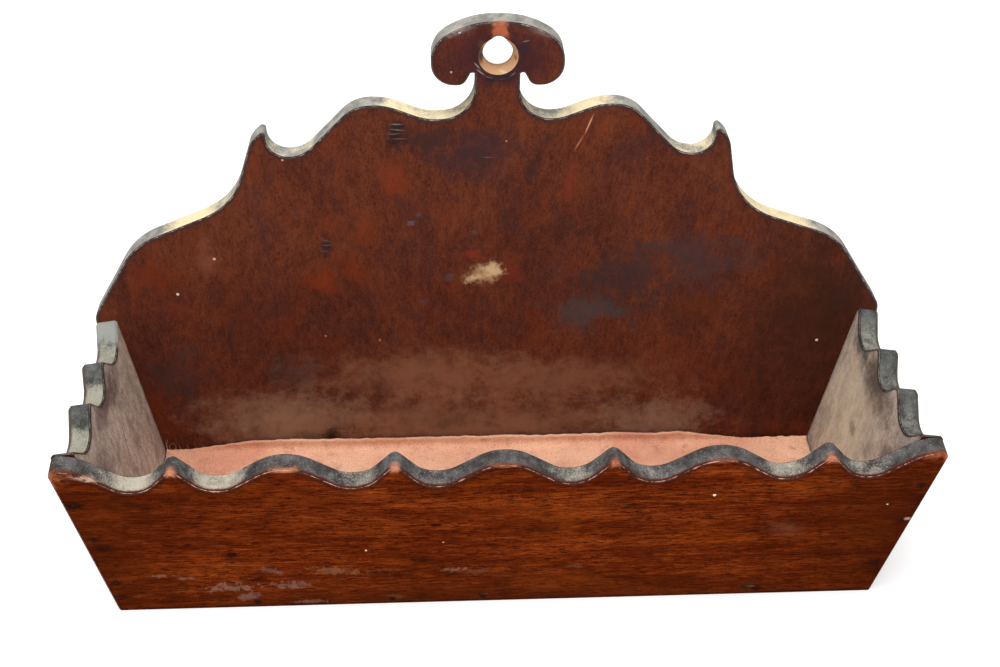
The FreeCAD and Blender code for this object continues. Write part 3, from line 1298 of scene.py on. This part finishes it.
FRONT_MARKS = (
    # The first four marks darken both ends and the bottom of the face, and lighten a faint band across
    # the middle.
    Mark(-170, 40, 120, 200, (64, 22, 6), 0.7, 1.0, 0.4),
    Mark(172, 45, 180, 200, (60, 20, 6), 0.8, 1.0, 0.4),
    Mark(0, 0, 420, 56, (74, 30, 12), 0.65, 1.0, 0.6),
    Mark(14, 60, 90, 20, (150, 70, 20), 0.15, 1.0, 0.6),
    Mark(-166, 68.7, 12, 7, (26, 12, 8), 0.9, 0.8, 0.7),
    Mark(-159, 42, 12, 9, (32, 14, 8), 0.75, 0.9, 0.7),
    Mark(-157, 9.6, 13, 5, (30, 16, 10), 0.8, 0.8, 0.8),
    Mark(-139.8, 23, 12, 2.4, (150, 104, 84), 0.50, 0.7, 2.0),
    Mark(-129.8, 21, 9, 2.4, (150, 104, 84), 0.50, 0.7, 2.0),
    Mark(-112, 14, 22, 5, (146, 108, 90), 0.55, 0.5, 2.8),
    Mark(-104.8, 7.5, 14, 6, (132, 100, 92), 0.50, 0.7, 2.0),
    Mark(-87, 14.6, 17, 6, (140, 108, 94), 0.50, 0.7, 2.0),
    Mark(-94, 24.7, 13, 4, (130, 96, 84), 0.43, 0.7, 2.0, 20.0),
    Mark(-69, 23.5, 26, 5, (146, 96, 66), 0.50, 0.7, 2.0, 6.0),
    Mark(-81, 2.6, 16, 3, (140, 108, 90), 0.43, 0.7, 2.0),
    Mark(-50, 23.3, 14, 3, (126, 78, 50), 0.36, 0.7, 2.0),
    Mark(-19.5, 22.0, 11, 3.5, (156, 112, 84), 0.50, 0.7, 2.0),
    Mark(-9, 20.4, 18, 5, (120, 80, 56), 0.36, 0.7, 2.0),
    Mark(31, 22.6, 9, 3, (120, 80, 56), 0.36, 0.7, 2.0),
    Mark(116, 43.8, 26, 14, (126, 78, 54), 0.4, 1.0, 1.2),
    Mark(-26.4, 52.0, 8, 2.6, (34, 14, 6), 0.9, 0.7, 1.0),
    Mark(-109.3, 35.9, 8, 4, (36, 14, 6), 0.9, 0.7, 1.0),
    Mark(106, 4.8, 11, 4.4, (46, 36, 25), 0.9, 0.7, 0.7),
    Mark(107, 5.2, 5, 1.4, (150, 126, 104), 0.4, 0.8, 0.8),
    Mark(-8, 4.6, 10, 3.6, (58, 32, 18), 0.6, 0.8, 0.9),
    Mark(-7, 4.8, 4, 1.6, (150, 116, 90), 0.6, 0.8, 0.8),
    Mark(-44.4, 4.6, 10, 4, (122, 84, 60), 0.5, 0.9, 1.2),
    Mark(-55.3, 36.6, 1.2, 1.2, (232, 206, 170), 0.95, 0.5, 0.1),
    Mark(83.2, 66.6, 1.5, 1.5, (236, 226, 208), 1.0, 0.3, 0.1),
    Mark(154.5, 58.3, 1.1, 1.1, (232, 206, 176), 0.95, 0.5, 0.1),
    Mark(-24, 40.7, 1.2, 1.2, (196, 140, 104), 0.9, 0.4, 0.3),
    Mark(165, 48.7, 5, 2.4, (182, 140, 118), 0.85, 0.6, 0.8),
)
# Worn corners, then marks on the cusps and swells that are partly wear and partly painted highlight.
FRONT_WEAR_AND_HIGHLIGHTS = (
    Mark(-171, 84, 20, 11, (188, 108, 70), 0.9, 0.7, 1.2),
    Mark(-158, 83.6, 26, 3.2, (222, 180, 158), 0.85, 0.7, 1.4, 14.0),
    Mark(170, 86, 17, 7, (182, 100, 66), 0.9, 0.7, 1.2),
    Mark(-127, 86, 6, 7, (206, 136, 104), 0.9, 0.7, 0.8),
    Mark(-42.3, 86, 6, 7, (206, 136, 104), 0.9, 0.7, 0.8),
    Mark(42.3, 86, 6, 6, (184, 108, 78), 0.9, 0.7, 0.8),
    Mark(127, 86, 9, 6, (200, 126, 96), 0.9, 0.7, 0.8),
    Mark(-84, 86.4, 20, 2.2, (212, 140, 106), 0.9, 0.8, 0.9),
    Mark(0, 86.4, 22, 1.8, (176, 108, 80), 0.6, 0.8, 0.9),
    Mark(84, 86.4, 18, 1.8, (182, 114, 86), 0.6, 0.8, 0.9),
)
BACK_MARKS = (
    Mark(-95, 24, 112, 52, (142, 112, 92), 0.9, 1.0, 0.9),
    Mark(-30, 50, 150, 42, (142, 98, 74), 0.7, 1.0, 1.0),
    Mark(30, 46, 140, 40, (134, 92, 70), 0.65, 1.0, 1.0),
    Mark(-10, 20, 270, 50, (140, 102, 80), 0.75, 1.0, 0.9),
    Mark(76, 20, 76, 38, (140, 112, 94), 0.75, 1.0, 1.0),
    Mark(0, 208, 60, 36, (58, 32, 37), 0.85, 0.7, 0.3),
    Mark(146, 78, 100, 170, (54, 32, 23), 0.75, 1.0, 0.8),
    Mark(57, 100, 68, 48, (62, 44, 44), 0.85, 1.0, 1.8),
    Mark(88, 112, 62, 42, (72, 52, 52), 0.75, 1.0, 1.8),
    Mark(40, 84, 44, 28, (74, 66, 64), 0.7, 1.0, 1.8),
    Mark(-144, 51, 34, 30, (70, 48, 46), 0.75, 1.0, 1.8),
    Mark(-134, 66, 16, 12, (74, 56, 52), 0.6, 1.0, 1.8),
    Mark(-90, 53, 28, 22, (74, 60, 58), 0.65, 1.0, 1.8),
    Mark(-12, 165, 50, 32, (58, 40, 43), 0.85, 1.0, 1.4),
    Mark(-28, 172, 28, 22, (60, 38, 36), 0.75, 1.0, 1.8),
    Mark(14.6, 160, 9, 30, (54, 34, 34), 0.7, 1.0, 2.2),
    Mark(-41.5, 153, 18, 24, (124, 52, 28), 0.65, 1.0, 1.2),
    Mark(-20, 137, 30, 22, (116, 52, 32), 0.4, 1.0, 1.4),
    Mark(-62, 108, 26, 30, (112, 44, 20), 0.5, 1.0, 1.4),
    Mark(-73, 104, 18, 24, (126, 48, 19), 0.65, 1.0, 1.4),
    Mark(-56, 132, 22, 24, (116, 52, 30), 0.5, 1.0, 1.4),
    Mark(-143, 107, 30, 24, (112, 44, 20), 0.6, 1.0, 1.4),
    Mark(-138, 91, 16, 12, (116, 46, 30), 0.6, 1.0, 2.2),
    Mark(-121, 114, 13, 32, (130, 76, 56), 0.55, 1.0, 1.4),
    Mark(90, 86, 36, 22, (88, 46, 26), 0.5, 1.0, 1.4),
    Mark(-19, 22, 30, 14, (70, 44, 36), 0.5, 1.0, 2.2),
    Mark(-40, 174.5, 11, 20, (44, 31, 32), 0.9, 0.9, 1.6),
    Mark(-40, 179, 7, 0.9, (134, 122, 116), 0.7, 0.9, 0.6),
    Mark(-39, 176.4, 10, 0.9, (126, 112, 108), 0.65, 0.9, 0.8, 6.0),
    Mark(-41, 174.6, 8, 0.8, (118, 102, 98), 0.6, 0.9, 0.8, -5.0),
    Mark(-38.6, 172.4, 8, 0.8, (112, 94, 92), 0.6, 0.9, 0.8),
    Mark(-71, 120.5, 8, 15, (50, 34, 36), 0.85, 0.9, 1.6),
    Mark(-71, 124, 5, 0.9, (108, 94, 98), 0.6, 0.9, 0.6, 20.0),
    Mark(-70.6, 121.6, 6, 1.1, (104, 92, 100), 0.6, 0.9, 0.6),
    Mark(-71.6, 118.6, 5, 0.9, (102, 84, 84), 0.6, 0.9, 0.6, -15.0),
    Mark(-8.4, 116.5, 15, 8, (136, 48, 32), 0.6, 1.0, 2.2),
    Mark(8, 108, 14, 18, (116, 44, 34), 0.5, 1.0, 2.2),
    Mark(-3.5, 106, 20, 12, (176, 138, 100), 0.85, 0.7, 1.0, -12.0),
    Mark(-0.5, 108, 12, 11, (206, 176, 132), 0.85, 0.7, 1.0),
    Mark(-8.5, 103.5, 10, 5, (204, 172, 130), 0.8, 0.8, 1.0, -20.0),
    Mark(37, 178.5, 0.9, 11.5, (216, 150, 112), 0.85, 0.7, 0.4, 19.0),
    Mark(33.3, 169.8, 1.1, 10, (184, 112, 80), 0.75, 0.8, 0.4, 26.0),
    Mark(30.5, 152, 6, 30, (124, 48, 34), 0.55, 1.0, 0.6, 5.0),
    Mark(-35.3, 132.4, 5, 4, (96, 82, 90), 0.85, 0.9, 1.2),
    Mark(-31.7, 136.2, 3, 3, (90, 74, 78), 0.7, 0.9, 1.0),
    Mark(-8.5, 127.2, 3.4, 3, (92, 70, 66), 0.8, 0.9, 1.0),
    Mark(-19, 104.6, 7, 6, (80, 68, 70), 0.75, 0.9, 1.2),
    Mark(-30.7, 91.5, 5, 4, (82, 66, 76), 0.7, 0.9, 0.7),
    Mark(-3.3, 163.5, 7, 0.8, (110, 92, 94), 0.5, 0.8, 0.9),
    Mark(4, 170.9, 1.0, 1.0, (190, 146, 110), 0.8, 0.5, 0.2),
    Mark(-135.4, 97.3, 1.5, 1.5, (232, 220, 200), 1.0, 0.3, 0.1),
    Mark(-118, 115.4, 1.5, 1.5, (214, 178, 150), 1.0, 0.4, 0.1),
    Mark(-86, 163.2, 1.3, 1.3, (206, 150, 130), 1.0, 0.4, 0.1),
    Mark(147.1, 66.4, 1.5, 1.5, (232, 220, 200), 1.0, 0.3, 0.1),
    Mark(-73.7, 73.4, 1.2, 1.2, (196, 120, 90), 0.9, 0.4, 0.2),
    Mark(-50, 70.6, 1.0, 2.0, (196, 110, 80), 0.8, 0.4, 0.2),
    Mark(-15, 218.3, 1.3, 1.0, (240, 232, 224), 1.0, 0.3, 0.1),
    Mark(-18.2, 201.7, 1.1, 1.1, (206, 180, 170), 0.9, 0.4, 0.1),
    Mark(-74, 14, 10, 12, (30, 18, 16), 0.85, 0.8, 0.8),
    Mark(0, 208.2, 18.4, 18.4, (92, 62, 48), 0.8, 0.3, 1.0),
    Mark(0.4, 217.6, 7.6, 9.4, (170, 94, 64), 0.95, 0.4, 0.8),
    Mark(3.4, 215, 3, 6, (132, 66, 44), 0.7, 0.8, 1.2),
    Mark(-8, 204.2, 5, 0.9, (150, 142, 140), 0.8, 0.8, 0.6, 50.0),
    Mark(-6.6, 201.4, 6, 1.0, (146, 138, 136), 0.8, 0.8, 0.6, 38.0),
    Mark(-3, 199.3, 6, 0.9, (118, 118, 122), 0.8, 0.8, 0.6, 12.0),
    Mark(1.5, 198.6, 7, 0.9, (104, 108, 112), 0.7, 0.8, 0.6, -6.0),
    Mark(5.6, 200.4, 4, 0.8, (134, 128, 124), 0.7, 0.8, 0.6, -40.0),
    Mark(10.5, 214.6, 4, 0.8, (136, 130, 136), 0.7, 0.8, 0.6, -12.0),
    Mark(1, 199.2, 17, 6, (42, 34, 37), 0.8, 0.8, 1.2),
    Mark(9.6, 212, 7, 7, (44, 40, 46), 0.7, 0.8, 1.0),
)
# A worn strip above the hole, then two painted highlights along the crown's arris.
BACK_WEAR_AND_HIGHLIGHTS = (
    Mark(0.4, 221.4, 7.6, 5, (176, 102, 74), 1.0, 0.4, 0.6),
    Mark(-18, 218.6, 24, 8, (176, 156, 154), 0.5, 0.7, 1.2),
    Mark(19, 218.4, 22, 7, (160, 138, 134), 0.45, 0.7, 1.2),
)
BACK_EDGE_MARKS = (
    Mark(0, 209, 21, 24, (192, 150, 112), 0.95, 0.2, 0.2),
    Mark(-7.4, 209, 5, 16, (74, 44, 36), 0.9, 0.7, 1.0),
    Mark(6.8, 207, 1.6, 3, (120, 78, 50), 0.7, 0.7, 1.0),
    Mark(2, 201.2, 5, 1.6, (212, 190, 156), 0.7, 0.8, 1.0),
)
REAR_MARKS = (
    Mark(0, 208, 36, 26, (132, 100, 76), 0.5, 0.9, 0.8),
    Mark(-60, 60, 150, 90, (70, 50, 40), 0.5, 1.0, 0.9),
    Mark(90, 120, 110, 90, (122, 92, 68), 0.4, 1.0, 0.9),
    Mark(0, 0, 340, 22, (56, 40, 32), 0.7, 0.9, 0.8),
    Mark(40, 34, 44, 30, (52, 38, 32), 0.5, 0.3, 0.5),
    Mark(-110, 110, 1.2, 60, (140, 110, 84), 0.6, 0.9, 0.8, 30.0),
)
LEFT_MARKS = (
    # The first two marks are painted shade on the inner face below the rim.
    Mark(4, 75, 56, 24, (94, 76, 78), 0.85, 1.0, 1.1),
    Mark(-24, 58, 28, 44, (116, 97, 92), 0.7, 1.0, 1.1),
    Mark(-16, 34, 1.4, 26, (74, 52, 46), 0.85, 0.8, 0.8, 14.0),
    Mark(-8, 30, 1.2, 20, (74, 52, 46), 0.85, 0.8, 0.8, -10.0),
    Mark(-21, 28, 1.2, 18, (74, 52, 46), 0.75, 0.8, 0.8, 4.0),
    Mark(-13, 24, 1.0, 14, (84, 62, 54), 0.75, 0.8, 0.8, 30.0),
    Mark(6, 50, 1.2, 22, (94, 72, 66), 0.7, 0.8, 0.8, 18.0),
    Mark(36, 60, 14, 60, (150, 136, 120), 0.5, 1.0, 0.6),
)
LEFT_EDGE_MARKS = (
    Mark(42, 85, 44, 24, (152, 154, 146), 0.8, 0.6, 1.2),
)
RIGHT_MARKS = (
    Mark(14, 44, 110, 110, (222, 208, 176), 0.6, 1.0, 0.6),
    # These three marks are painted shade on the inner face below the rim.
    Mark(6, 74, 76, 28, (90, 80, 74), 0.9, 1.0, 1.1),
    Mark(-28, 60, 22, 44, (98, 80, 74), 0.85, 1.0, 1.1),
    Mark(30, 77, 34, 20, (78, 75, 76), 0.85, 1.0, 1.1),
    Mark(8, 46, 14, 9, (110, 104, 96), 0.65, 0.9, 1.2),
    Mark(-12, 52, 10, 12, (126, 112, 100), 0.5, 0.9, 1.2),
)
CREST_DUST = tuple(
    Mark(across, up, width, height, (0, 0, 0), softness=0.5, ragged=0.0)
    for across, up, width, height in ((118, 137, 72, 38), (82, 164, 34, 22), (26, 184, 54, 30))
)


def build_boards() -> list[Board]:
    """Lists the five boards with their finishes.

    Returns:
        The boards.
    """
    sides = []
    for name, sign, marks, edge_marks in (
        ("left_side_board", -1, LEFT_MARKS, LEFT_EDGE_MARKS),
        ("right_side_board", 1, RIGHT_MARKS, ()),
    ):
        outward = (sign * math.cos(SIDE_SPLAY), 0.0, -math.sin(SIDE_SPLAY))
        side = SideBoard(name, outward, POLISHED_SIDE, BARE_SIDE, SIDE_EDGE, along_y=True)
        side.marks[Side.INSIDE] = marks
        side.edge_marks = edge_marks
        sides.append(side)
    return [
        BackBoard(
            "back_board",
            (0.0, 1.0, 0.0),
            BARE_BACK,
            POLISHED_BACK,
            BACK_EDGE,
            marks={Side.INSIDE: BACK_MARKS, Side.OUTSIDE: REAR_MARKS},
            wear_and_highlight_marks=BACK_WEAR_AND_HIGHLIGHTS,
            edge_marks=BACK_EDGE_MARKS,
            dust_marks=CREST_DUST,
        ),
        FrontBoard(
            "front_board",
            (0.0, -math.cos(FRONT_LEAN), -math.sin(FRONT_LEAN)),
            POLISHED_FRONT,
            BARE_FRONT,
            FRONT_EDGE,
            marks={Side.OUTSIDE: FRONT_MARKS},
            wear_and_highlight_marks=FRONT_WEAR_AND_HIGHLIGHTS,
            shine=0.0,
        ),
        *sides,
        Board("bottom_board", (0.0, 0.0, -1.0), BARE_BOTTOM, BARE_BOTTOM, SIDE_EDGE),
    ]


def main() -> None:
    """Builds the pieces and the studio."""
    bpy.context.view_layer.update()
    for board in build_boards():
        board.dress()
    Lining().build()
    Brads().dress()
    Studio().build()


if __name__ == "__main__":
    main()
